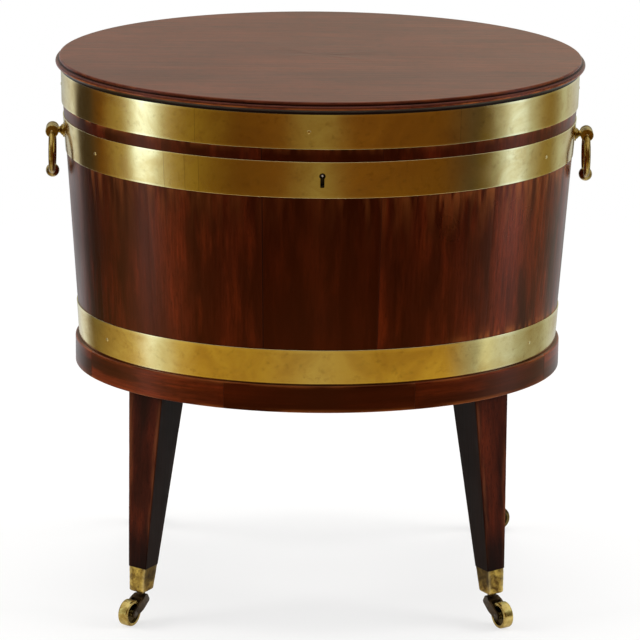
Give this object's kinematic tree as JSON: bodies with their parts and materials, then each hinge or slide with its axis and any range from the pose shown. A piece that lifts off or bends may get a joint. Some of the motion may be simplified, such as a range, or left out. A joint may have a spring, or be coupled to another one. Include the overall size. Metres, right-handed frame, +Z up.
{
  "type": "wine cooler",
  "caption": "Oval brass-bound mahogany wine cooler on square tapered legs with castors, with a hinged moulded lid, ring handles, a lock and a lead-lined tub with a drain cock.",
  "frame": {"origin": "on the floor, below the middle of the oval", "axes": "+Z up, -Y is the front with the keyhole, +X to the right seen from the front; the lid is hinged along the back (+Y)"},
  "size_m": [0.6864, 0.4801, 0.69],
  "materials": {
    "polished_mahogany": "french polished",
    "plain_mahogany": "unpolished",
    "old_brass": "polished, lightly tarnished",
    "dark_bronze": "dark patina",
    "steel": "worn bright steel",
    "sheet_lead": "dull, oxidised"
  },
  "bodies": {
    "cabinet": {"base_frame": "polished_mahogany", "body_band_pins": "old_brass", "body_staves": "polished_mahogany", "castor_cup_back_left": "old_brass", "castor_cup_back_right": "old_brass", "castor_cup_front_left": "old_brass", "castor_cup_front_right": "old_brass", "castor_pivots": "steel", "drain_cock_body": "old_brass", "drain_nut": "old_brass", "floor_board": "plain_mahogany", "handle_nuts": "steel", "handle_pins": "old_brass", "handle_post_left": "old_brass", "handle_post_right": "old_brass", "hinge_leaves_body": "old_brass", "hinge_pins": "steel", "hinge_screws_body": "steel", "lead_lining": "sheet_lead", "leg_back_left": "polished_mahogany", "leg_back_right": "polished_mahogany", "leg_front_left": "polished_mahogany", "leg_front_right": "polished_mahogany", "lock_case": "steel", "lock_drill_pin": "steel", "lock_plate": "old_brass", "lock_screws": "steel", "lower_band": "old_brass", "middle_band": "old_brass"},
    "lid": {"lid_top": "polished_mahogany", "lid_rim": "polished_mahogany", "lid_band": "old_brass", "lid_band_pins": "old_brass", "link_plate": "old_brass", "link_plate_screws": "steel", "hinge_leaves_lid": "old_brass", "hinge_screws_lid": "steel"},
    "ring_left": {"handle_ring_left": "old_brass"},
    "ring_right": {"handle_ring_right": "old_brass"},
    "bolt": {"lock_bolt": "steel"},
    "plug": {"drain_plug": "old_brass", "drain_plug_washer": "old_brass"},
    "swivel_front_left": {"castor_fork_front_left": "dark_bronze", "castor_axle_front_left": "steel"},
    "wheel_front_left": {"castor_wheel_front_left": "old_brass"},
    "swivel_front_right": {"castor_fork_front_right": "dark_bronze", "castor_axle_front_right": "steel"},
    "wheel_front_right": {"castor_wheel_front_right": "old_brass"},
    "swivel_back_left": {"castor_fork_back_left": "dark_bronze", "castor_axle_back_left": "steel"},
    "wheel_back_left": {"castor_wheel_back_left": "old_brass"},
    "swivel_back_right": {"castor_fork_back_right": "dark_bronze", "castor_axle_back_right": "steel"},
    "wheel_back_right": {"castor_wheel_back_right": "old_brass"}
  },
  "joints": [
    {"name": "lid_hinge", "type": "hinge", "parent": "cabinet", "child": "lid", "pos_m": [0, 0.233, 0.6305], "axis": [-1, 0, 0], "range_deg": [0, 100]},
    {"name": "ring_left_swing", "type": "hinge", "parent": "cabinet", "child": "ring_left", "pos_m": [-0.33466, 0, 0.5915], "axis": [0, 1, 0], "range_deg": [-12, 178]},
    {"name": "ring_right_swing", "type": "hinge", "parent": "cabinet", "child": "ring_right", "pos_m": [0.33466, 0, 0.5915], "axis": [0, -1, 0], "range_deg": [-12, 178]},
    {"name": "bolt_slide", "type": "slide", "parent": "cabinet", "child": "bolt", "axis": [1, 0, 0], "range_m": [0, 0.006]},
    {"name": "plug_turn", "type": "hinge", "parent": "cabinet", "child": "plug", "pos_m": [0, 0, 0.297], "axis": [0, -1, 0], "range_deg": [0, 90]},
    {"name": "swivel_front_left", "type": "hinge", "parent": "cabinet", "child": "swivel_front_left", "pos_m": [-0.2197, -0.16219, 0.0388], "axis": [0, 0, 1], "continuous": true},
    {"name": "wheel_front_left", "type": "hinge", "parent": "swivel_front_left", "child": "wheel_front_left", "pos_m": [-0.23386, -0.184, 0.0165], "axis": [0.8387, -0.5446, 0], "continuous": true},
    {"name": "swivel_front_right", "type": "hinge", "parent": "cabinet", "child": "swivel_front_right", "pos_m": [0.2197, -0.16219, 0.0388], "axis": [0, 0, 1], "continuous": true},
    {"name": "wheel_front_right", "type": "hinge", "parent": "swivel_front_right", "child": "wheel_front_right", "pos_m": [0.2327, -0.18471, 0.0165], "axis": [0.866, 0.5, 0], "continuous": true},
    {"name": "swivel_back_left", "type": "hinge", "parent": "cabinet", "child": "swivel_back_left", "pos_m": [-0.2197, 0.16219, 0.0388], "axis": [0, 0, 1], "continuous": true},
    {"name": "wheel_back_left", "type": "hinge", "parent": "swivel_back_left", "child": "wheel_back_left", "pos_m": [-0.2327, 0.18471, 0.0165], "axis": [-0.866, -0.5, 0], "continuous": true},
    {"name": "swivel_back_right", "type": "hinge", "parent": "cabinet", "child": "swivel_back_right", "pos_m": [0.2197, 0.16219, 0.0388], "axis": [0, 0, 1], "continuous": true},
    {"name": "wheel_back_right", "type": "hinge", "parent": "swivel_back_right", "child": "wheel_back_right", "pos_m": [0.24492, 0.16848, 0.0165], "axis": [-0.2419, 0.9703, 0], "continuous": true}
  ]
}
